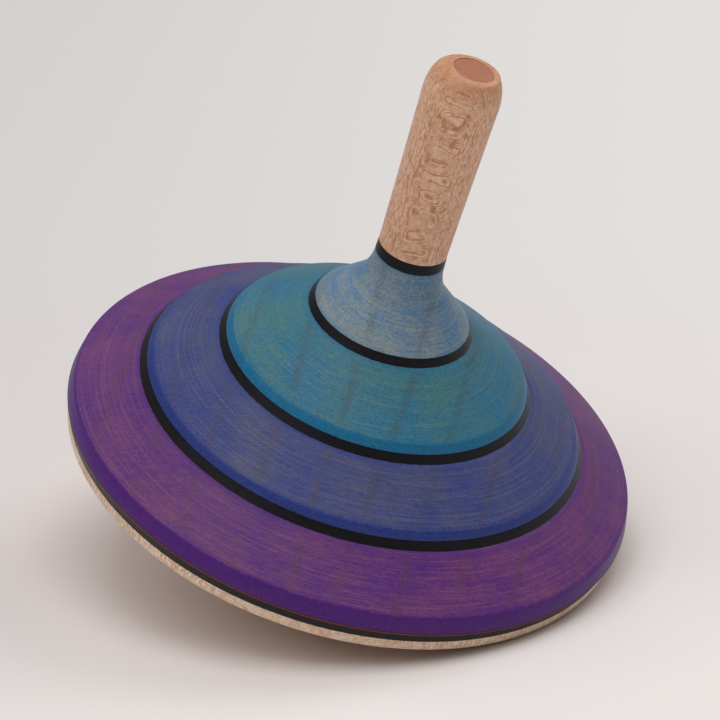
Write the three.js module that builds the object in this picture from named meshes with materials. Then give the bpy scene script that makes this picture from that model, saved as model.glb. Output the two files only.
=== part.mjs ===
// A finger-twirled wooden spinning top, built up in layers: a natural base disc, three
// stained tiers and a stained hub, with a thin black washer in each step between them,
// glued on one through spindle under a turned handle.
//
// Millimetres, +Z up. The top lies as it does when it has stopped: on the tip of its
// spindle and on the rim of its disc, leaning towards +X. The origin is the middle of
// its box, on the surface that it lies on.
//
// Every piece is turned about the spindle's axis. Outlines are [radius, height] pairs,
// with heights above the piece's own lower face and radii across the facets' middles.

import * as THREE from "three";

// Driving dimensions.
const facets = 48;              // flat sides round every turned piece
const glueLine = 0.12;          // gap between the faces of stacked pieces
const boreClearance = 0.12;     // gap between the spindle and each bore, on the radius

const discRadius = 30.0;        // widest, at the lower edge of the violet tier

const spindleRadius = 2.1;
const tipRadius = 1.5;          // ball at the spindle's lower end
const tipHalfAngle = 30;        // degrees, of the cone between that ball and the shank
const tipDrop = 3.1;            // tip below the foot of the base disc

const base = {
  thickness: 8.84,              // from the foot's face to the upper face
  rimInset: 0.4,                // side set in from the widest radius
  rimRounding: 0.8,             // radius between the side and the underside
  sideHeight: 0.54,             // straight side above the rounding
  undersideSlope: 12,           // degrees
  flareRadius: 9.0,             // where the underside turns down into the foot
  footRadius: 3.9,
};

const rimRingThickness = 1.12;
const washerThickness = 0.66;   // of the three washers between tiers

// outer is the lower edge's radius, shoulder the upper edge's. The lower edge carries a
// steep chamfer that runs in and rises by the two amounts given.
const violet = { thickness: 4.96, outer: discRadius, chamferRun: 0.4, chamferRise: 1.75, shoulder: 23.53 };
const blue = { thickness: 4.22, outer: 23.0, chamferRun: 0.5, chamferRise: 0.85, shoulder: 16.43 };
const teal = { thickness: 5.06, outer: 15.92, chamferRun: 0.55, chamferRise: 0.9, shoulder: 8.57 };

const hub = {
  thickness: 6.8,
  outer: 8.12,
  coneHeight: 3.05,             // straight cone below the hollow flare
  coneRadius: 5.05,             // where the flare starts
  neckRadius: 3.6,
};

const collarThickness = 1.03;

const handle = {
  length: 20.75,
  footRadius: 3.53,
  gripHeight: 9.0,              // where a thumb and finger hold it
  gripRadius: 3.69,
  bulgeRadius: 3.88,            // widest, just below the rounded end
  endRounding: 3.2,             // height of the rounded end
  endLand: 0.25,                // flat rim left round the bore at the end
};

const stain = {
  natural: { color: 0xcfa983, roughness: 0.6, metalness: 0 },
  endGrain: { color: 0xb0785c, roughness: 0.65, metalness: 0 },
  black: { color: 0x1c1a1e, roughness: 0.5, metalness: 0 },
  violet: { color: 0x6f3f8e, roughness: 0.45, metalness: 0 },
  blue: { color: 0x3f4f96, roughness: 0.45, metalness: 0 },
  teal: { color: 0x2b7080, roughness: 0.45, metalness: 0 },
  sky: { color: 0x6f9db5, roughness: 0.5, metalness: 0 },
};

const degrees = Math.PI / 180;
const boreRadius = spindleRadius + boreClearance;

// Points along an elliptical arc, both ends included, angles in degrees from outwards.
function arc(centreRadius, centreHeight, halfWidth, halfHeight, from, to, steps) {
  return Array.from({ length: steps + 1 }, (_, step) => {
    const angle = (from + (to - from) * step / steps) * degrees;
    return [
      centreRadius + halfWidth * Math.cos(angle),
      centreHeight + halfHeight * Math.sin(angle),
    ];
  });
}

// A mesh turned from an outline that runs up the outside, from foot to top.
function turned(name, finish, outline) {
  const cornerOverFlat = 1 / Math.cos(Math.PI / facets);
  const points = outline.map(([radius, height]) => new THREE.Vector2(radius * cornerOverFlat, height));
  const halfFacet = Math.PI / facets;
  const geometry = new THREE.LatheGeometry(points, facets, halfFacet);
  geometry.rotateX(Math.PI / 2);
  const mesh = new THREE.Mesh(geometry, new THREE.MeshStandardMaterial(finish));
  mesh.name = name;
  return mesh;
}

// A turned piece with the spindle's bore through it, from foot face to top face.
function bored(name, finish, outside) {
  const foot = outside[0][1];
  const top = outside.at(-1)[1];
  return turned(name, finish, [[boreRadius, foot], ...outside, [boreRadius, top], [boreRadius, foot]]);
}

function makeSpindle(length) {
  const turn = 90 - tipHalfAngle;
  const [, ...ball] = arc(0, tipRadius, tipRadius, tipRadius, -90, turn - 90, 6);
  const [ballEdge, ballTop] = ball.at(-1);
  const shankFoot = ballTop + (spindleRadius - ballEdge) / Math.tan(tipHalfAngle * degrees);
  return turned("spindle", stain.endGrain, [
    [0, 0],
    ...ball,
    [spindleRadius, shankFoot],
    [spindleRadius, length],
    [0, length],
  ]);
}

const baseRimRadius = discRadius - base.rimInset;

// Centre of the rounding between the base disc's side and its underside.
const rimCentre = [
  baseRimRadius - base.rimRounding,
  base.thickness - base.sideHeight,
];

function makeBaseDisc() {
  const rounding = arc(...rimCentre, base.rimRounding, base.rimRounding, base.undersideSlope - 90, 0, 6);
  const [edgeRadius, edgeHeight] = rounding[0];
  const flareTop = edgeHeight - (edgeRadius - base.flareRadius) * Math.tan(base.undersideSlope * degrees);
  const flareWidth = base.flareRadius - base.footRadius;
  const flare = arc(base.flareRadius, 0, flareWidth, flareTop, 180, 90, 5);
  return bored("base_disc", stain.natural, [
    ...flare,
    ...rounding,
    [baseRimRadius, base.thickness],
  ]);
}

function makeTier(name, finish, tier) {
  return bored(name, finish, [
    [tier.outer, 0],
    [tier.outer - tier.chamferRun, tier.chamferRise],
    [tier.shoulder, tier.thickness],
  ]);
}

// A washer joins the radius below it to the radius above it.
function makeWasher(name, thickness, lowerRadius, upperRadius) {
  return bored(name, stain.black, [
    [lowerRadius, 0],
    [upperRadius, thickness],
  ]);
}

function makeHub() {
  const coneSlope = hub.coneHeight / (hub.outer - hub.coneRadius);
  const coneMeetsNeck = coneSlope * (hub.outer - hub.neckRadius);
  const flare = new THREE.QuadraticBezierCurve(
    new THREE.Vector2(hub.coneRadius, hub.coneHeight),
    new THREE.Vector2(hub.neckRadius, coneMeetsNeck),
    new THREE.Vector2(hub.neckRadius, hub.thickness),
  );
  return bored("hub", stain.sky, [
    [hub.outer, 0],
    ...flare.getPoints(7).map((point) => point.toArray()),
  ]);
}

function makeHandle() {
  const faceRadius = boreRadius + handle.endLand;
  const bulgeHeight = handle.length - handle.endRounding;
  const roundedEnd = arc(faceRadius, bulgeHeight, handle.bulgeRadius - faceRadius, handle.endRounding, 0, 90, 7);
  return bored("handle", stain.natural, [
    [handle.footRadius, 0],
    [handle.gripRadius, handle.gripHeight],
    ...roundedEnd,
  ]);
}

// The stack, from the base disc up, with each piece's own height.
const stack = [
  [makeBaseDisc(), base.thickness],
  [makeWasher("rim_ring", rimRingThickness, baseRimRadius, violet.outer), rimRingThickness],
  [makeTier("violet_tier", stain.violet, violet), violet.thickness],
  [makeWasher("violet_blue_ring", washerThickness, violet.shoulder, blue.outer), washerThickness],
  [makeTier("blue_tier", stain.blue, blue), blue.thickness],
  [makeWasher("blue_teal_ring", washerThickness, blue.shoulder, teal.outer), washerThickness],
  [makeTier("teal_tier", stain.teal, teal), teal.thickness],
  [makeWasher("teal_hub_ring", washerThickness, teal.shoulder, hub.outer), washerThickness],
  [makeHub(), hub.thickness],
  [makeWasher("collar_ring", collarThickness, hub.neckRadius, handle.footRadius), collarThickness],
  [makeHandle(), handle.length],
];

// Angle at which one flat surface touches both the ball of the tip and the rim's rounding.
function restTilt() {
  const across = rimCentre[0];
  const rise = tipDrop + rimCentre[1] - tipRadius;
  const reach = Math.hypot(across, rise);
  return Math.atan2(rise, across) + Math.asin((tipRadius - base.rimRounding) / reach);
}

const leaning = new THREE.Group();
leaning.rotation.y = restTilt();

let level = tipDrop;
for (const [mesh, height] of stack) {
  mesh.position.z = level;
  leaning.add(mesh);
  level += height + glueLine;
}
leaning.add(makeSpindle(level - glueLine));

const box = new THREE.Box3().setFromObject(leaning, true);
leaning.position.set(-(box.min.x + box.max.x) / 2, -(box.min.y + box.max.y) / 2, -box.min.z);

const top = new THREE.Group();
top.add(leaning);

export default top;
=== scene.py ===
import math

import bmesh
import bpy
import numpy as np
from bpy.props import FloatProperty, FloatVectorProperty, IntProperty, PointerProperty
from mathutils import Matrix, Vector


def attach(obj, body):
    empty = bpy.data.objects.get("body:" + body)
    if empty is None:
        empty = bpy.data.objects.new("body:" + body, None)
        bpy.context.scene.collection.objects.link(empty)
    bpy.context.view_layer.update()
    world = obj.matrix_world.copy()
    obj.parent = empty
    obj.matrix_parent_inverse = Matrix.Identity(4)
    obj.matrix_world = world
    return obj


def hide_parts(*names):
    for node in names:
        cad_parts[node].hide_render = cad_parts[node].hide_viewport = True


# A finger-twirled wooden spinning top, turned in layers on one spindle: a natural base
# disc, three stained tiers and a stained hub with black rings between them, and a
# natural handle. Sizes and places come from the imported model; lengths are in metres.

bl_info = {
    "name": "Layered Spinning Top",
    "version": (1, 0, 0),
    "blender": (4, 5, 0),
    "location": "View3D > Sidebar > Spinning Top",
    "description": "Turns, stains and lights the pieces of a layered wooden spinning top",
    "category": "Add Mesh",
}

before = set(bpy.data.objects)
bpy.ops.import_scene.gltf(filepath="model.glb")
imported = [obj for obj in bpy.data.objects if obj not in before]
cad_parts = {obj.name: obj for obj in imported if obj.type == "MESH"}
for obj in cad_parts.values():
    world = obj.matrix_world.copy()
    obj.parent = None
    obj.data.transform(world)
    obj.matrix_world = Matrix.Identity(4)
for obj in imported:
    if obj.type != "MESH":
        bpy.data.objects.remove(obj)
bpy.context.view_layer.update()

BODY = "root"
MILLIMETRE = 0.001
SAME_PLACE = 0.005 * MILLIMETRE     # two corners closer than this are one
HAIRLINE = 0.006 * MILLIMETRE       # left between faces that meet
FULL_TURN = 2 * math.pi
SHARP = math.radians(50)            # edges that turn by more than this show as edges

STACK = [
    "base_disc", "rim_ring", "violet_tier", "violet_blue_ring", "blue_tier", "blue_teal_ring",
    "teal_tier", "teal_hub_ring", "hub", "collar_ring", "handle",
]


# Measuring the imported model.

def corners(node):
    """Every corner of a node's mesh, as rows of x, y and z."""
    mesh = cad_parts[node].data
    places = np.empty(len(mesh.vertices) * 3)
    mesh.vertices.foreach_get("co", places)
    return places.reshape(-1, 3)


def find_spindle():
    """A matrix with Z up the spindle from its tip, and X on the side that the top leans to."""
    foot = Vector(corners("base_disc").mean(axis=0))
    up = (Vector(corners("handle").mean(axis=0)) - foot).normalized()
    across = Vector((0.0, 1.0, 0.0))
    leaning = across.cross(up)
    tip_height = min(up.dot(Vector(corner) - foot) for corner in corners("spindle"))
    spindle = Matrix((leaning, across, up)).transposed().to_4x4()
    spindle.translation = foot + up * tip_height
    return spindle


SPINDLE = find_spindle()


def rings(node):
    """A turned node's outline: the (radius, height) of each of its rings of corners, lowest first.
    Radii are measured across the facets' middles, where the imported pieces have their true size."""
    upright = np.array(SPINDLE.inverted())
    local = corners(node) @ upright[:3, :3].T + upright[:3, 3]
    off_axis = local[np.hypot(local[:, 0], local[:, 1]) > MILLIMETRE]
    turns = np.degrees(np.arctan2(off_axis[:, 1], off_axis[:, 0]))
    facets = len(np.unique(turns.round(1) % 360))
    flat_over_corner = math.cos(math.pi / facets)
    found = []
    for x, y, height in local.tolist():
        radius = math.hypot(x, y) * flat_over_corner
        known = (math.hypot(radius - r, height - h) < SAME_PLACE for r, h in found)
        if not any(known):
            found.append((radius, height))
    return sorted(found, key=lambda ring: (round(ring[1] / SAME_PLACE), ring[0]))


RINGS = {node: rings(node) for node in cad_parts}
BORE = min(radius for radius, height in RINGS["hub"])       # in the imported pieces
SNUG_BORE = max(radius for radius, height in RINGS["spindle"]) + HAIRLINE       # in the pieces here


def foot_of(node):
    """The height of a node's lowest ring."""
    return RINGS[node][0][1]


def outside(node):
    """The rings of a bored node without its bore, from foot to top. The top is carried up over the
    glue line to meet the piece above."""
    shell = [ring for ring in RINGS[node] if ring[0] > BORE + SAME_PLACE]
    if node != STACK[-1]:
        above = STACK[STACK.index(node) + 1]
        shell[-1] = (shell[-1][0], foot_of(above) - HAIRLINE)
    return shell


# Settings.

def length(name, description, default, low=0.0, high=1.0):
    return FloatProperty(
        name=name, description=description, default=default, min=low, max=high,
        subtype="DISTANCE", unit="LENGTH", precision=5,
    )


def angle(name, description, default):
    return FloatProperty(
        name=name, description=description, default=math.radians(default), subtype="ANGLE",
        unit="ROTATION",
    )


def amount(name, description, default):
    return FloatProperty(name=name, description=description, default=default, min=0.0, max=1.0)


def linear(shade):
    """A screen shade from 0 to 255 as the linear value that shaders use."""
    part = shade / 255
    return part / 12.92 if part <= 0.04045 else ((part + 0.055) / 1.055) ** 2.4


def colour(name, description, red, green, blue):
    return FloatVectorProperty(
        name=name, description=description, subtype="COLOR", size=3, min=0.0, max=1.0,
        default=(linear(red), linear(green), linear(blue)),
    )


class TurningSettings(bpy.types.PropertyGroup):
    """Sizes of the finish that the lathe leaves."""

    steps: IntProperty(
        name="Steps round", description="Faces round each turned piece", default=200, min=24, max=720)
    stretch: length("Longest face", "Longest face along an outline", 0.6 * MILLIMETRE)
    edge: length("Edge rounding", "Width of the rounding on the edges of a tier", 0.11 * MILLIMETRE)
    crest: length(
        "Crest rounding", "Width of the rounding where a chamfer meets a slope", 0.2 * MILLIMETRE)
    end_offset: length(
        "End offset", "How far the handle's end was sanded off the spindle's axis", 0.45 * MILLIMETRE)
    end_drop: length("End drop", "How far that side of the handle's end is lower", 0.2 * MILLIMETRE)
    end_recess: length(
        "End recess", "How deep the spindle's end lies in the handle's end", 0.06 * MILLIMETRE)


class TimberSettings(bpy.types.PropertyGroup):
    """How the timber's figure lies in the top."""

    heading: angle(
        "Grain heading", "Turn of the growth lines about the spindle, from the leaning side", 35.5)
    ring_width: length("Ring width", "Distance from one growth line to the next", 5.6 * MILLIMETRE)


class StainSettings(bpy.types.PropertyGroup):
    """Colours of the stains and of the bare wood."""

    hub_deep: colour("Hub, deep", "Light blue stain where the wood took most of it", 34, 117, 176)
    hub_pale: colour("Hub, pale", "Light blue stain where the wood shows through", 145, 154, 146)
    teal_deep: colour("Teal, deep", "Teal stain where the wood took most of it", 5, 108, 156)
    teal_pale: colour("Teal, pale", "Teal stain where the wood shows through", 67, 121, 123)
    blue_deep: colour("Blue, deep", "Blue stain where the wood took most of it", 34, 56, 134)
    blue_pale: colour("Blue, pale", "Blue stain where the wood shows through", 77, 82, 116)
    violet_deep: colour("Violet, deep", "Violet stain where the wood took most of it", 74, 22, 124)
    violet_pale: colour("Violet, pale", "Violet stain where the wood shows through", 114, 57, 110)
    black: colour("Black", "Black stain of the rings", 14, 12, 18)
    bleed: colour("Stain edge", "Brown left where a black ring's stain thins out", 112, 54, 34)
    growth: colour("Growth lines", "Growth lines under the stains", 76, 60, 50)
    wood: colour("Wood", "Bare wood", 250, 210, 180)
    # Painted light: a paler copy of the bare wood, which lightens the base disc's rim where it faces down
    # into shade.
    base_wood: colour("Base wood", "Bare wood of the base disc, which is a paler piece", 255, 236, 212)
    wood_dark: colour("Wood, dark", "Flecks and growth lines in bare wood", 180, 110, 68)
    end_grain: colour("End grain", "The spindle's cut end", 204, 140, 110)
    end_dark: colour("End grain, dark", "Flecks in the spindle's cut end", 160, 100, 76)


class StageSettings(bpy.types.PropertyGroup):
    """Where the camera and the lights stand."""

    azimuth: angle("Camera azimuth", "Turn of the camera about the top, from looking along +Y", 43.6)
    elevation: angle("Camera elevation", "Height of the camera above the horizon, as an angle", 20.5)
    distance: length(
        "Camera distance", "From the camera to the middle of the disc", 309.8 * MILLIMETRE, high=5.0)
    aim_right: length(
        "Aim right", "Aim of the camera to the right of the disc's middle", 0.947 * MILLIMETRE)
    aim_up: length("Aim up", "Aim of the camera above the disc's middle", 8.452 * MILLIMETRE)
    lens: FloatProperty(
        name="Lens", description="Focal length", default=148.36, min=10, max=400, unit="CAMERA")
    light_size: length("Light size", "Side of each square light", 1.5, high=5.0)
    light_distance: length("Light distance", "From the middle of the floor to each light", 2.4, high=5.0)
    room: amount("Room light", "Strength of the even light from all round", 0.155)
    walls: amount("Walls", "Brightness of the walls that show beyond the floor", 0.66)
    floor_reach: length("Floor reach", "From the middle of the floor to each of its sides", 1.2, high=5.0)
    # Painted light and shade on the floor: these two colours paint the even card dimmer behind the top
    # and to its left, and brighter before it and to its right.
    floor_painted_shade: colour("Floor, dim side", "Card behind the top and to its left", 207, 203, 203)
    floor_painted_light: colour("Floor, bright side", "Card before the top and to its right", 238, 234, 231)
    # Painted bounce light: a warm tint multiplied into the card close round the top, standing in for
    # light thrown off the violet tier.
    floor_painted_bounce: colour("Floor, blush", "Warmer tint of the card close round the top", 255, 252, 252)


# Modelling with the lathe.

def settings():
    return bpy.context.scene.layered_top


def turn(name, outline, bore=0.0, rounded=()):
    """An object spun from an outline of (radius, height) pairs that runs from foot to top.
    rounded lists (ring, width) for the edges that are eased."""
    turning = settings().turning
    foot = outline[0][1]
    top = outline[-1][1]
    shape = bmesh.new()
    profile = [(bore, foot), *outline, (bore, top)]
    path = [shape.verts.new((radius, 0.0, height)) for radius, height in profile]
    sides = [shape.edges.new(pair) for pair in zip(path, path[1:])]
    if bore:
        sides.append(shape.edges.new((path[-1], path[0])))
    for side in sides:
        cuts = int(side.calc_length() / turning.stretch)
        if cuts:
            bmesh.ops.subdivide_edges(shape, edges=[side], cuts=cuts)
    bmesh.ops.spin(
        shape, geom=shape.verts[:] + shape.edges[:], cent=(0, 0, 0), axis=(0, 0, 1),
        angle=FULL_TURN, steps=turning.steps, use_merge=True, use_duplicate=False,
    )
    bmesh.ops.remove_doubles(shape, verts=shape.verts, dist=SAME_PLACE / 10)
    bmesh.ops.recalc_face_normals(shape, faces=shape.faces)
    for ring, width in rounded:
        bmesh.ops.bevel(
            shape, geom=ring_edges(shape, ring), offset=width, offset_type="OFFSET", segments=3,
            profile=0.5, affect="EDGES", material=-1,
        )
    sand_end(shape)
    bmesh.ops.transform(shape, matrix=SPINDLE, verts=shape.verts)
    mesh = bpy.data.meshes.new(name)
    shape.to_mesh(mesh)
    shape.free()
    mesh.shade_smooth()
    mesh.set_sharp_from_angle(angle=SHARP)
    piece = bpy.data.objects.new(name, mesh)
    bpy.context.scene.collection.objects.link(piece)
    return piece


def sand_end(shape):
    """Moves what an upright shape has in the rounded end of the handle to one side, and lowers that
    side of it."""
    turning = settings().turning
    side = Matrix.Rotation(settings().timber.heading, 3, "Z") @ Vector((1, 0, 0))
    *_, start, _, _, end = outside("handle")
    for vert in shape.verts:
        share = min(max((vert.co.z - start[1]) / (end[1] - start[1]), 0.0), 1.0)
        drop = share * turning.end_drop * vert.co.dot(side) / start[0]
        vert.co += share ** 2 * turning.end_offset * side
        vert.co.z -= drop


def ring_edges(shape, ring):
    """The edges that run round an upright spun shape at one (radius, height)."""
    radius, height = ring
    on_ring = {
        vert for vert in shape.verts
        if math.hypot(math.hypot(vert.co.x, vert.co.y) - radius, vert.co.z - height) < SAME_PLACE
    }
    return [edge for edge in shape.edges if on_ring.issuperset(edge.verts)]


def quarter(start, end, steps):
    """A quarter of an ellipse that leaves start along the spindle and reaches end across it."""
    width = start[0] - end[0]
    height = end[1] - start[1]
    return [
        (end[0] + width * math.cos(bend), start[1] + height * math.sin(bend))
        for bend in np.linspace(0, FULL_TURN / 4, steps + 1)
    ]


def bezier(start, pull, end, steps):
    """A curve from start to end that leaves and arrives in line with pull."""
    return [
        tuple((1 - t) ** 2 * a + 2 * t * (1 - t) * b + t ** 2 * c for a, b, c in zip(start, pull, end))
        for t in np.linspace(0, 1, steps + 1)
    ]


def finish_piece(piece, node, material):
    """Gives the piece its material, hides the imported node that it replaces and hangs the piece on the
    body.
    """
    piece.data.materials.append(material)
    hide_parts(node)
    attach(piece, BODY)


# Nodes.

def link(tree, socket, value):
    """Feeds a socket from another socket, or sets it."""
    if isinstance(value, bpy.types.NodeSocket):
        tree.links.new(value, socket)
    elif value is not None:
        socket.default_value = value


def calc(tree, operation, first, second=None, third=None):
    node = tree.nodes.new("ShaderNodeMath")
    node.operation = operation
    for socket, value in zip(node.inputs, (first, second, third)):
        link(tree, socket, value)
    return node.outputs[0]


def product(tree, first, *others):
    for other in others:
        first = calc(tree, "MULTIPLY", first, other)
    return first


def remap(tree, value, low, high, start=0.0, end=1.0):
    """value from low to high becomes start to end, eased at both ends and held beyond them."""
    node = tree.nodes.new("ShaderNodeMapRange")
    node.interpolation_type = "SMOOTHSTEP"
    link(tree, node.inputs["Value"], value)
    link(tree, node.inputs["From Min"], low)
    link(tree, node.inputs["From Max"], high)
    link(tree, node.inputs["To Min"], start)
    link(tree, node.inputs["To Max"], end)
    return node.outputs["Result"]


def mapped(tree, position, scale=(1, 1, 1), location=(0, 0, 0), rotation=(0, 0, 0)):
    node = tree.nodes.new("ShaderNodeMapping")
    link(tree, node.inputs["Vector"], position)
    node.inputs["Scale"].default_value = scale
    node.inputs["Location"].default_value = location
    node.inputs["Rotation"].default_value = rotation
    return node.outputs["Vector"]


def noise(tree, position, fineness, detail=2.0, roughness=0.5):
    """Noise from 0 to 1; fineness is the number of features in a millimetre along X, Y and Z."""
    node = tree.nodes.new("ShaderNodeTexNoise")
    link(tree, node.inputs["Vector"], mapped(tree, position, scale=fineness))
    node.inputs["Scale"].default_value = 1.0
    node.inputs["Detail"].default_value = detail
    node.inputs["Roughness"].default_value = roughness
    return node.outputs["Fac"]


def blend(tree, factor, first, second, how="MIX"):
    node = tree.nodes.new("ShaderNodeMix")
    node.data_type = "RGBA"
    node.blend_type = how
    link(tree, node.inputs["Factor"], factor)
    colour_inputs = [socket for socket in node.inputs if socket.type == "RGBA"]
    for socket, value in zip(colour_inputs, (first, second)):
        if not isinstance(value, bpy.types.NodeSocket):
            value = (*value, 1.0)
        link(tree, socket, value)
    return next(socket for socket in node.outputs if socket.type == "RGBA")


def split(tree, position):
    node = tree.nodes.new("ShaderNodeSeparateXYZ")
    link(tree, node.inputs[0], position)
    return node.outputs


def new_group(name, inputs, outputs):
    """A shader node group and its input and output nodes; inputs and outputs are name: socket type."""
    tree = bpy.data.node_groups.new(name, "ShaderNodeTree")
    for in_out, sockets in (("INPUT", inputs), ("OUTPUT", outputs)):
        for socket, kind in sockets.items():
            tree.interface.new_socket(name=socket, in_out=in_out, socket_type="NodeSocket" + kind)
    return tree, tree.nodes.new("NodeGroupInput").outputs, tree.nodes.new("NodeGroupOutput").inputs


def place_group(tree, group, values):
    """A group in a tree, with its inputs linked or set by name."""
    node = tree.nodes.new("ShaderNodeGroup")
    node.node_tree = group
    for name, value in values.items():
        if isinstance(value, tuple):
            value = (*value, 1.0)
        link(tree, node.inputs[name], value)
    return node.outputs


# The timber's figure. X runs across the growth lines, Y along them and Z up the spindle along the
# fibres, all in millimetres.

def from_spindle(tree, position):
    """Distance from the middle of the spindle."""
    across, along, _ = split(tree, position)
    squared = calc(tree, "MULTIPLY_ADD", across, across, calc(tree, "MULTIPLY", along, along))
    return calc(tree, "POWER", squared, 0.5)


def growth_lines(tree, position, ring_width):
    """Thin broken lines, a ring's width apart, that wander as they run."""
    wander_fineness = (0.07, 0.05, 0.03)
    wander_reach = 4.0
    line_middle = 0.01
    line_edge = 0.13
    break_fineness = (0.6, 0.4, 0.35)
    faintest = 0.2
    across, _, _ = split(tree, position)
    wandering = calc(tree, "MULTIPLY_ADD", noise(tree, position, wander_fineness), wander_reach, across)
    years = calc(tree, "DIVIDE", wandering, ring_width)
    line = remap(tree, calc(tree, "PINGPONG", years, 0.5), line_middle, line_edge, 1.0, 0.0)
    whole = remap(tree, noise(tree, position, break_fineness, 3.0), 0.3, 0.65, faintest, 1.0)
    return product(tree, line, whole)


def ray_sheets(tree, position, facing, given):
    """Thin sheets set across Y, which bend. Where the surface faces along Y they also swing with the
    height, so that it cuts them into a ladder of nested arcs."""
    bend_fineness = (0.22, 0.35, 0.3)
    swing_height = 4.2
    swing_fineness = (0.1, 0.1, 0.2)
    swing_wander = 7.0
    _, along, height = split(tree, position)
    bent = calc(tree, "MULTIPLY_ADD", noise(tree, position, bend_fineness, 1.0), given["Bend"], along)
    uneven = calc(tree, "MULTIPLY_ADD", noise(tree, position, swing_fineness, 1.0), swing_wander, height)
    swing = calc(tree, "SINE", calc(tree, "MULTIPLY", uneven, FULL_TURN / swing_height))
    swung = calc(tree, "ADD", bent, product(tree, swing, facing, given["Ladder"]))
    sheets = calc(tree, "DIVIDE", swung, given["Sheet Spacing"])
    return remap(tree, calc(tree, "SINE", calc(tree, "MULTIPLY", sheets, FULL_TURN)), -0.3, 0.9)


def lathe_marks(tree, position):
    """Fine grooves that the lathe left round the spindle."""
    fineness = (4.6, 4.6, 0.16)
    across, _, height = split(tree, position)
    groove = tree.nodes.new("ShaderNodeCombineXYZ")
    for socket, value in zip(groove.inputs, (from_spindle(tree, position), height, across)):
        link(tree, socket, value)
    return noise(tree, groove.outputs[0], fineness, 3.0, 0.65)


def timber_group():
    """Every mark that the timber and the lathe leave in a piece. Rays are the parts of the sheets that
    show as broken flecks, pores are thin tubes along Z, and Facing is 1 where a turned surface faces
    along Y."""
    name = "timber_figure"
    if name in bpy.data.node_groups:
        return bpy.data.node_groups[name]
    tree, given, results = new_group(
        name,
        {
            "Position": "Vector", "Ring Width": "Float", "Sheet Spacing": "Float", "Bend": "Float",
            "Ladder": "Float",
        },
        {
            "Growth": "Float", "Sheets": "Float", "Rays": "Float", "Ray Shadows": "Float",
            "Pores": "Float", "Facing": "Float", "Mottle": "Float", "Speckle": "Float",
            "Grain": "Float", "Marks": "Float", "Relief": "Float",
        },
    )
    ray_fineness = (0.7, 2.6, 0.9)
    shadow_fineness = (0.7, 4.5, 0.8)
    shadow_shift = (31, 7, 13)
    pore_fineness = (8.5, 8.5, 1.5)
    mottle_fineness = (0.14, 0.14, 0.12)
    speckle_fineness = (2.2, 3.6, 2.2)
    grain_fineness = (3.5, 7.0, 3.5)
    pore_relief = -0.5
    mark_relief = 0.6

    position = given["Position"]
    _, along, _ = split(tree, position)
    cosine = calc(tree, "ABSOLUTE", calc(tree, "DIVIDE", along, from_spindle(tree, position)))
    facing = remap(tree, cosine, 0.86, 0.98)
    sheets = ray_sheets(tree, position, facing, given)
    whole = remap(tree, noise(tree, position, ray_fineness, 3.0), 0.4, 0.62)
    elsewhere = mapped(tree, position, location=shadow_shift)
    shadows = noise(tree, elsewhere, shadow_fineness, 2.0, 0.6)
    pores = remap(tree, noise(tree, position, pore_fineness, 1.0), 0.52, 0.66)
    mottle = noise(tree, position, mottle_fineness, 3.0, 0.6)
    speckle = noise(tree, position, speckle_fineness, 3.0, 0.7)
    grain = noise(tree, position, grain_fineness, 2.0, 0.6)
    marks = lathe_marks(tree, position)
    relief = calc(tree, "MULTIPLY_ADD", pores, pore_relief, speckle)
    shown = {
        "Growth": growth_lines(tree, position, given["Ring Width"]),
        "Sheets": sheets,
        "Rays": product(tree, sheets, whole),
        "Ray Shadows": remap(tree, shadows, 0.57, 0.67),
        "Pores": pores,
        "Facing": facing,
        "Mottle": remap(tree, mottle, 0.32, 0.68),
        "Speckle": speckle,
        "Grain": remap(tree, grain, 0.38, 0.7),
        "Marks": marks,
        "Relief": calc(tree, "MULTIPLY_ADD", marks, mark_relief, relief),
    }
    for output, value in shown.items():
        link(tree, results[output], value)
    return tree


def height_band_group():
    """A mask that is 1 between two heights up the spindle, with a slightly ragged edge, in
    millimetres."""
    name = "height_band"
    if name in bpy.data.node_groups:
        return bpy.data.node_groups[name]
    tree, given, results = new_group(
        name,
        {
            "Position": "Vector", "Low": "Float", "High": "Float", "Softness": "Float",
            "Raggedness": "Float",
        },
        {"Mask": "Float"},
    )
    ragged_fineness = (1.3, 1.3, 1.3)
    position = given["Position"]
    ragged = calc(tree, "SUBTRACT", noise(tree, position, ragged_fineness, 3.0, 0.6), 0.5)
    height = calc(tree, "MULTIPLY_ADD", ragged, given["Raggedness"], split(tree, position)[2])
    above = calc(tree, "DIVIDE", calc(tree, "SUBTRACT", height, given["Low"]), given["Softness"])
    below = calc(tree, "DIVIDE", calc(tree, "SUBTRACT", given["High"], height), given["Softness"])
    band = product(tree, remap(tree, above, -0.5, 0.5), remap(tree, below, -0.5, 0.5))
    link(tree, results["Mask"], band)
    return tree


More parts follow.
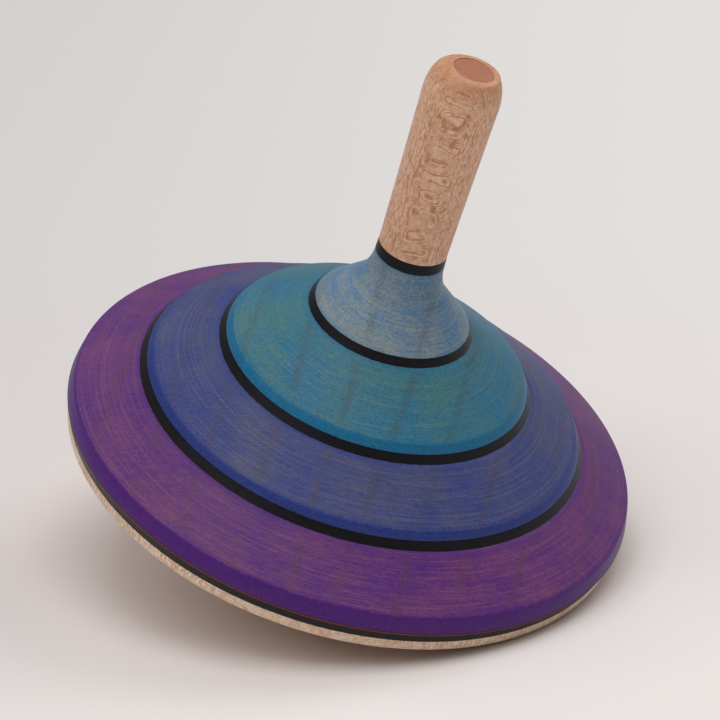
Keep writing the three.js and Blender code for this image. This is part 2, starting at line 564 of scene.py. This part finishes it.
def stain_group():
    """Stain that the timber takes unevenly: least on the middle of the slope and in its fine marks, and
    most on the chamfer, at the shoulder and in the pores. It ends ragged against the black at the foot
    and at the top. Heights are in millimetres."""
    name = "uneven_stain"
    if name in bpy.data.node_groups:
        return bpy.data.node_groups[name]
    tree, given, results = new_group(
        name,
        {
            "Position": "Vector", "Ring Width": "Float", "Deep": "Color", "Pale": "Color",
            "Ray": "Color", "Growth": "Color", "Black": "Color", "Foot": "Float", "Crest": "Float",
            "Top": "Float",
        },
        {"Color": "Color", "Roughness": "Float", "Relief": "Float"},
    )
    shoulder = 0.2              # height that keeps its stain under the top edge
    least_worn = 0.35           # wear at the shoulder, where the middle of the slope has 1
    far_below = 9.0             # the chamfer's mask has no lower end near the piece
    mark_weight = 0.9
    mottle_weight = 0.4
    pore_weight = -0.15
    speckle_weight = 0.8
    ray_share = 0.13
    scratch_share = 0.13
    growth_share = 0.42
    grain_share = 0.28
    position = given["Position"]
    wood = place_group(tree, timber_group(), {
        "Position": position, "Ring Width": given["Ring Width"], "Sheet Spacing": 0.21, "Bend": 1.2,
        "Ladder": 0.0,
    })

    def mask(low, high, softness, raggedness):
        return place_group(tree, height_band_group(), {
            "Position": position, "Low": low, "High": high, "Softness": softness,
            "Raggedness": raggedness,
        })["Mask"]

    slope = mask(given["Crest"], calc(tree, "SUBTRACT", given["Top"], shoulder), 0.9, 0.5)
    worn = calc(tree, "MULTIPLY_ADD", slope, 1.0 - least_worn, least_worn)
    chamfer = mask(calc(tree, "SUBTRACT", given["Foot"], far_below), given["Crest"], 0.14, 0.3)
    under_crest = remap(tree, split(tree, position)[2], given["Foot"], given["Crest"], 0.4, 0.85)
    kept = product(tree, chamfer, under_crest)
    worn = product(tree, worn, calc(tree, "SUBTRACT", 1.0, kept))

    bare = calc(tree, "MULTIPLY_ADD", wood["Marks"], mark_weight, -0.18)
    bare = calc(tree, "MULTIPLY_ADD", wood["Mottle"], mottle_weight, bare)
    bare = calc(tree, "MULTIPLY_ADD", wood["Pores"], pore_weight, bare)
    bare = calc(tree, "SUBTRACT", product(tree, bare, worn), 0.4)
    bare = calc(tree, "MULTIPLY_ADD", wood["Speckle"], speckle_weight, bare)
    scratches = remap(tree, wood["Marks"], 0.48, 0.68)

    shade = blend(tree, remap(tree, bare, -0.2, 0.9), given["Deep"], given["Pale"])
    shade = blend(tree, product(tree, wood["Rays"], worn, ray_share), shade, given["Ray"])
    shade = blend(tree, product(tree, scratches, worn, scratch_share), shade, given["Ray"])
    shade = blend(tree, product(tree, wood["Growth"], worn, growth_share), shade, given["Growth"])
    shade = blend(tree, product(tree, wood["Grain"], grain_share), shade, given["Black"])
    inner = mask(given["Foot"], given["Top"], 0.06, 0.14)
    link(tree, results["Color"], blend(tree, inner, given["Black"], shade))
    link(tree, results["Roughness"], remap(tree, wood["Speckle"], 0.2, 0.8, 0.42, 0.58))
    link(tree, results["Relief"], wood["Relief"])
    return tree


# Materials.

def start_material(name):
    """A satin material with its tree, its shader and the position in the timber, in millimetres."""
    material = bpy.data.materials.new(name)
    material.use_nodes = True
    tree = material.node_tree
    shader = tree.nodes["Principled BSDF"]
    shader.inputs["Specular IOR Level"].default_value = 0.2
    shader.inputs["Sheen Weight"].default_value = 0.12
    shader.inputs["Sheen Roughness"].default_value = 0.35
    timber = SPINDLE @ Matrix.Rotation(settings().timber.heading, 4, "Z")
    upright = timber.inverted()
    position = mapped(
        tree, tree.nodes.new("ShaderNodeTexCoord").outputs["Object"],
        scale=[1 / MILLIMETRE] * 3,
        rotation=upright.to_euler("XYZ"),
        location=upright.translation / MILLIMETRE,
    )
    return material, tree, shader, position


def bump(tree, shader, height, distance):
    node = tree.nodes.new("ShaderNodeBump")
    node.inputs["Strength"].default_value = 0.35
    node.inputs["Distance"].default_value = distance
    link(tree, node.inputs["Height"], height)
    tree.links.new(node.outputs["Normal"], shader.inputs["Normal"])


def stained_wood(name, node, deep, pale, crest):
    """Wood under a stain that runs from deep to pale; crest is the height of the chamfer's upper
    edge."""
    wood_in_ray = 0.25          # share of bare wood's colour in the rays and fine marks
    pale_in_growth = 1 / 3      # share of the pale stain in the growth lines
    material, tree, shader, position = start_material(name)
    stain = settings().stain
    ray = [(1 - wood_in_ray) * a + wood_in_ray * b for a, b in zip(pale, stain.wood)]
    growth = [pale_in_growth * a + (1 - pale_in_growth) * b for a, b in zip(pale, stain.growth)]
    look = place_group(tree, stain_group(), {
        "Position": position,
        "Ring Width": settings().timber.ring_width / MILLIMETRE,
        "Deep": tuple(deep),
        "Pale": tuple(pale),
        "Ray": tuple(ray),
        "Growth": tuple(growth),
        "Black": tuple(stain.black),
        "Foot": foot_of(node) / MILLIMETRE,
        "Crest": crest / MILLIMETRE,
        "Top": outside(node)[-1][1] / MILLIMETRE,
    })
    link(tree, shader.inputs["Base Color"], look["Color"])
    link(tree, shader.inputs["Roughness"], look["Roughness"])
    bump(tree, shader, look["Relief"], 0.03 * MILLIMETRE)
    return material


def figure(tree, position):
    """The timber's figure as it shows in a piece without a coloured stain."""
    return place_group(tree, timber_group(), {
        "Position": position,
        "Ring Width": settings().timber.ring_width / MILLIMETRE,
        "Sheet Spacing": 0.29,
        "Bend": 0.5,
        "Ladder": 0.8,
    })


def black_wood():
    """Black stained wood, brown where the stain thins out at the upper edge of the rim's ring."""
    name = "black_wood"
    if name in bpy.data.materials:
        return bpy.data.materials[name]
    worn_share = 0.5
    worn_gain = 2.5
    seam_reach = 0.2
    stain = settings().stain
    material, tree, shader, position = start_material(name)
    wood = figure(tree, position)
    worn = product(tree, remap(tree, wood["Speckle"], 0.45, 0.8), worn_share)
    shade = blend(tree, worn, stain.black, [part * worn_gain for part in stain.black])
    seam = foot_of("violet_tier") / MILLIMETRE
    line = place_group(tree, height_band_group(), {
        "Position": position, "Low": seam - seam_reach, "High": seam + seam_reach, "Softness": 0.12,
        "Raggedness": 0.3,
    })["Mask"]
    link(tree, shader.inputs["Base Color"], blend(tree, line, shade, stain.bleed))
    link(tree, shader.inputs["Roughness"], remap(tree, wood["Speckle"], 0.2, 0.8, 0.42, 0.58))
    bump(tree, shader, wood["Relief"], 0.02 * MILLIMETRE)
    return material


def bare_wood(name, light, dark, fleck):
    """Natural wood with growth lines, rays and pores, darker on the handle's rounded end; fleck is how
    dark the marks are."""
    if name in bpy.data.materials:
        return bpy.data.materials[name]
    pale_gain = 1.15
    mottle_share = 0.2
    pore_share = 0.95
    ray_share = 0.4
    growth_share = 0.25
    end_height = 3.0            # millimetres over which the handle's end darkens
    end_share = 0.5
    material, tree, shader, position = start_material(name)
    wood = figure(tree, position)
    middle = [(a + b) / 2 for a, b in zip(light, dark)]
    pale = [min(part * pale_gain, 1.0) for part in light]
    end = outside("handle")[-1][1] / MILLIMETRE
    # Where the surface faces along Y, pores show less and sheets more.
    pores = product(tree, wood["Pores"], calc(tree, "MULTIPLY_ADD", wood["Facing"], -0.6, 1.0))
    sheets = product(tree, wood["Sheets"], calc(tree, "MULTIPLY_ADD", wood["Facing"], 0.5, 0.7))
    shade = blend(tree, remap(tree, wood["Speckle"], 0.3, 0.7), light, middle)
    shade = blend(tree, product(tree, wood["Mottle"], mottle_share), shade, middle)
    shade = blend(tree, product(tree, pores, pore_share * fleck), shade, dark)
    shade = blend(tree, product(tree, sheets, fleck), shade, dark)
    shade = blend(tree, product(tree, wood["Rays"], ray_share), shade, pale)
    shade = blend(tree, product(tree, wood["Ray Shadows"], fleck), shade, dark)
    shade = blend(tree, product(tree, wood["Growth"], growth_share), shade, dark)
    near_end = remap(tree, split(tree, position)[2], end - end_height, end, 0.0, end_share)
    link(tree, shader.inputs["Base Color"], blend(tree, near_end, shade, dark))
    link(tree, shader.inputs["Roughness"], remap(tree, wood["Speckle"], 0.2, 0.8, 0.46, 0.62))
    bump(tree, shader, wood["Relief"], 0.03 * MILLIMETRE)
    return material


# Pieces.

class TOP_OT_spindle(bpy.types.Operator):
    """Turns the spindle, whose lower end is the tip and whose upper end shows in the handle"""

    bl_idname = "top.spindle"
    bl_label = "Spindle"

    def execute(self, context):
        *shank, end = [ring for ring in RINGS["spindle"] if ring[0] > SAME_PLACE]
        shown = (end[0], end[1] - settings().turning.end_recess)
        tip = (0.0, foot_of("spindle"))
        piece = turn("turned_spindle", [tip, *shank, shown])
        stain = settings().stain
        material = bare_wood("cut_end_grain", stain.end_grain, stain.end_dark, fleck=0.5)
        finish_piece(piece, "spindle", material)
        return {"FINISHED"}


class TOP_OT_base_disc(bpy.types.Operator):
    """Turns the natural base disc"""

    bl_idname = "top.base_disc"
    bl_label = "Base disc"

    def execute(self, context):
        foot_edge = 0.3 * MILLIMETRE
        shell = outside("base_disc")
        stretches = [math.dist(low, high) for low, high in zip(shell, shell[1:])]
        slope = stretches.index(max(stretches))
        flare_top = shell[slope]
        rim_foot = shell[slope + 1]
        rim_radius, top = shell[-1]
        side_foot = next(height for radius, height in shell if radius > rim_radius - SAME_PLACE)
        underside = math.atan2(rim_foot[1] - flare_top[1], rim_foot[0] - flare_top[0])
        rounding = (side_foot - rim_foot[1]) / math.cos(underside)
        flare = quarter(shell[0], flare_top, steps=16)
        rim = [
            (rim_radius - rounding + rounding * math.cos(bend), side_foot + rounding * math.sin(bend))
            for bend in np.linspace(underside - FULL_TURN / 4, 0, num=13)
        ]
        outline = [*flare, *rim, (rim_radius, top)]
        piece = turn("turned_base_disc", outline, SNUG_BORE, [(shell[0], foot_edge)])
        stain = settings().stain
        # Painted light: the base disc takes the paler copy of the bare wood, which lightens its shaded
        # rim.
        material = bare_wood("pale_wood", stain.base_wood, stain.wood_dark, fleck=0.4)
        finish_piece(piece, "base_disc", material)
        return {"FINISHED"}


class TOP_OT_tiers(bpy.types.Operator):
    """Turns and stains the violet, blue and teal tiers"""

    bl_idname = "top.tiers"
    bl_label = "Stained tiers"

    def execute(self, context):
        stain = settings().stain
        turning = settings().turning
        for tier in ("violet", "blue", "teal"):
            node = tier + "_tier"
            edge, crest, shoulder = outside(node)
            rounded = [(edge, turning.edge), (crest, turning.crest)]
            piece = turn("turned_" + node, [edge, crest, shoulder], SNUG_BORE, rounded)
            deep = getattr(stain, tier + "_deep")
            pale = getattr(stain, tier + "_pale")
            material = stained_wood(tier + "_wood", node, deep, pale, crest[1])
            finish_piece(piece, node, material)
        return {"FINISHED"}


class TOP_OT_rings(bpy.types.Operator):
    """Turns the black rings, each from the piece under it to the piece over it"""

    bl_idname = "top.rings"
    bl_label = "Black rings"

    def execute(self, context):
        for below, ring, above in zip(STACK, STACK[1:], STACK[2:]):
            if not ring.endswith("_ring"):
                continue
            lower = (outside(below)[-1][0], foot_of(ring))
            upper = (outside(above)[0][0], foot_of(above) - HAIRLINE)
            piece = turn("turned_" + ring, [lower, upper], SNUG_BORE)
            finish_piece(piece, ring, black_wood())
        return {"FINISHED"}


class TOP_OT_hub(bpy.types.Operator):
    """Turns and stains the flared hub"""

    bl_idname = "top.hub"
    bl_label = "Hub"

    def execute(self, context):
        stain = settings().stain
        edge, cone_top, *flare = outside("hub")
        neck = flare[-1]
        slope = (cone_top[1] - edge[1]) / (edge[0] - cone_top[0])
        pull = (neck[0], edge[1] + slope * (edge[0] - neck[0]))
        outline = [edge, *bezier(cone_top, pull, neck, steps=20)]
        piece = turn("turned_hub", outline, SNUG_BORE, [(edge, settings().turning.edge)])
        material = stained_wood("light_blue_wood", "hub", stain.hub_deep, stain.hub_pale, edge[1])
        finish_piece(piece, "hub", material)
        return {"FINISHED"}


class TOP_OT_handle(bpy.types.Operator):
    """Turns the natural handle with its rounded end"""

    bl_idname = "top.handle"
    bl_label = "Handle"

    def execute(self, context):
        foot, grip, bulge, *rounding = outside("handle")
        radii, heights = zip(foot, grip, bulge)
        swell = np.polyfit(heights, radii, 2)
        levels = np.linspace(foot[1], bulge[1], num=24)
        sides = [(np.polyval(swell, height), height) for height in levels]
        outline = [*sides[:-1], *quarter(bulge, rounding[-1], steps=20)]
        piece = turn("turned_handle", outline, SNUG_BORE)
        stain = settings().stain
        material = bare_wood("bare_wood", stain.wood, stain.wood_dark, fleck=0.6)
        finish_piece(piece, "handle", material)
        return {"FINISHED"}


# Stage.

def camera_axes():
    """Right, up and forward for the camera's azimuth and elevation."""
    stage = settings().stage
    turned = Matrix.Rotation(stage.azimuth, 3, "Z")
    forward = turned @ Vector((0, math.cos(stage.elevation), -math.sin(stage.elevation)))
    right = turned @ Vector((1, 0, 0))
    return right, right.cross(forward), forward


def add_light(name, power, azimuth, elevation):
    """A square soft light that looks at the top; azimuth is from the camera's own, in degrees."""
    stage = settings().stage
    data = bpy.data.lights.new(name, "AREA")
    data.energy = power
    data.size = stage.light_size
    lamp = bpy.data.objects.new(name, data)
    bpy.context.scene.collection.objects.link(lamp)
    turned = Matrix.Rotation(stage.azimuth + math.radians(azimuth), 3, "Z")
    tall = math.radians(elevation)
    toward = turned @ Vector((0, -math.cos(tall), math.sin(tall)))
    lamp.location = toward * stage.light_distance
    lamp.rotation_euler = toward.to_track_quat("Z", "Y").to_euler()


class TOP_OT_stage(bpy.types.Operator):
    """Sets the camera, the lights and the pale floor"""

    bl_idname = "top.stage"
    bl_label = "Stage"

    def execute(self, context):
        stage = settings().stage
        right, up, forward = camera_axes()
        disc_middle = SPINDLE @ Vector((0, 0, foot_of("violet_tier")))
        data = bpy.data.cameras.new("camera")
        data.lens = stage.lens
        camera = bpy.data.objects.new("camera", data)
        context.scene.collection.objects.link(camera)
        aim = disc_middle + right * stage.aim_right + up * stage.aim_up
        camera.location = aim - forward * stage.distance
        camera.rotation_euler = Matrix((right, up, -forward)).transposed().to_euler()
        context.scene.camera = camera

        add_light("overhead", power=27.5, azimuth=0, elevation=80)
        add_light("key", power=14.5, azimuth=-52, elevation=50)
        add_light("back_right", power=15.0, azimuth=128, elevation=43)
        add_light("back_left", power=7.0, azimuth=-150, elevation=50)

        context.scene.world = room()
        context.scene.view_settings.view_transform = "Standard"

        shape = bmesh.new()
        bmesh.ops.create_grid(shape, x_segments=1, y_segments=1, size=stage.floor_reach)
        mesh = bpy.data.meshes.new("floor")
        shape.to_mesh(mesh)
        shape.free()
        floor = bpy.data.objects.new("floor", mesh)
        context.scene.collection.objects.link(floor)
        mesh.materials.append(floor_surface())
        return {"FINISHED"}


def room():
    """A room that gives a faint even light, with pale walls behind the floor."""
    stage = settings().stage
    world = bpy.data.worlds.new("room")
    world.use_nodes = True
    tree = world.node_tree
    background = tree.nodes["Background"]
    background.inputs["Color"].default_value = (1.0, 1.0, 1.0, 1.0)
    seen = tree.nodes.new("ShaderNodeLightPath").outputs["Is Camera Ray"]
    strength = calc(tree, "MULTIPLY_ADD", seen, stage.walls - stage.room, stage.room)
    link(tree, background.inputs["Strength"], strength)
    return world


def floor_surface():
    """Pale matt card with painted light: painted shade behind the top and to its left, painted light
    before it and to its right, and a painted warm bounce close round it.
    """
    side_reach = 0.09
    front_reach = 0.05
    bounce_core = 0.03
    bounce_reach = 0.12
    stage = settings().stage
    material = bpy.data.materials.new("pale_card")
    material.use_nodes = True
    tree = material.node_tree
    shader = tree.nodes["Principled BSDF"]
    shader.inputs["Roughness"].default_value = 0.8
    shader.inputs["Specular IOR Level"].default_value = 0.1
    place = tree.nodes.new("ShaderNodeTexCoord").outputs["Object"]
    across, beyond, _ = split(tree, mapped(tree, place, rotation=(0, 0, -stage.azimuth)))
    # Painted light: the card is painted lighter towards the camera's right and towards the camera.
    sideways = remap(tree, across, -side_reach, side_reach, 0.22, 0.78)
    forward = remap(tree, beyond, 0.0, -front_reach, 0.0, 0.55)
    painted_light_share = calc(tree, "ADD", sideways, forward)
    card = blend(tree, painted_light_share, stage.floor_painted_shade, stage.floor_painted_light)
    # Painted bounce light: a warm tint that grows towards the middle of the floor, under the top.
    distance = tree.nodes.new("ShaderNodeVectorMath")
    distance.operation = "LENGTH"
    tree.links.new(place, distance.inputs[0])
    near = remap(tree, distance.outputs["Value"], bounce_reach, bounce_core)
    link(tree, shader.inputs["Base Color"], blend(tree, near, card, stage.floor_painted_bounce, "MULTIPLY"))
    return material


# The add-on.

class TopSettings(bpy.types.PropertyGroup):
    """All the settings of the layered spinning top."""

    turning: PointerProperty(
        name="Turning", description="Sizes of the lathe's finish", type=TurningSettings)
    timber: PointerProperty(
        name="Timber", description="How the timber's figure lies", type=TimberSettings)
    stain: PointerProperty(name="Stain", description="Colours of the stains", type=StainSettings)
    stage: PointerProperty(name="Stage", description="Camera, lights and floor", type=StageSettings)


STEPS = [
    TOP_OT_stage, TOP_OT_spindle, TOP_OT_base_disc, TOP_OT_tiers, TOP_OT_rings, TOP_OT_hub,
    TOP_OT_handle,
]


class TOP_PT_panel(bpy.types.Panel):
    """Lists the pieces of the spinning top and their settings"""

    bl_idname = "TOP_PT_panel"
    bl_label = "Spinning Top"
    bl_space_type = "VIEW_3D"
    bl_region_type = "UI"
    bl_category = "Spinning Top"

    def draw(self, context):
        layout = self.layout
        for step in STEPS:
            layout.operator(step.bl_idname)
        top = settings()
        for group in (top.turning, top.timber, top.stain, top.stage):
            column = layout.column()
            for name in group.__annotations__:
                column.prop(group, name)


CLASSES = [
    TurningSettings, TimberSettings, StainSettings, StageSettings, TopSettings, *STEPS, TOP_PT_panel,
]


def register():
    for cls in CLASSES:
        bpy.utils.register_class(cls)
    bpy.types.Scene.layered_top = PointerProperty(
        name="Layered top", description="Settings of the layered spinning top", type=TopSettings)


def unregister():
    del bpy.types.Scene.layered_top
    for cls in reversed(CLASSES):
        bpy.utils.unregister_class(cls)


def main():
    register()
    bpy.ops.top.stage()
    bpy.ops.top.spindle()
    bpy.ops.top.base_disc()
    bpy.ops.top.tiers()
    bpy.ops.top.rings()
    bpy.ops.top.hub()
    bpy.ops.top.handle()


if __name__ == "__main__":
    main()
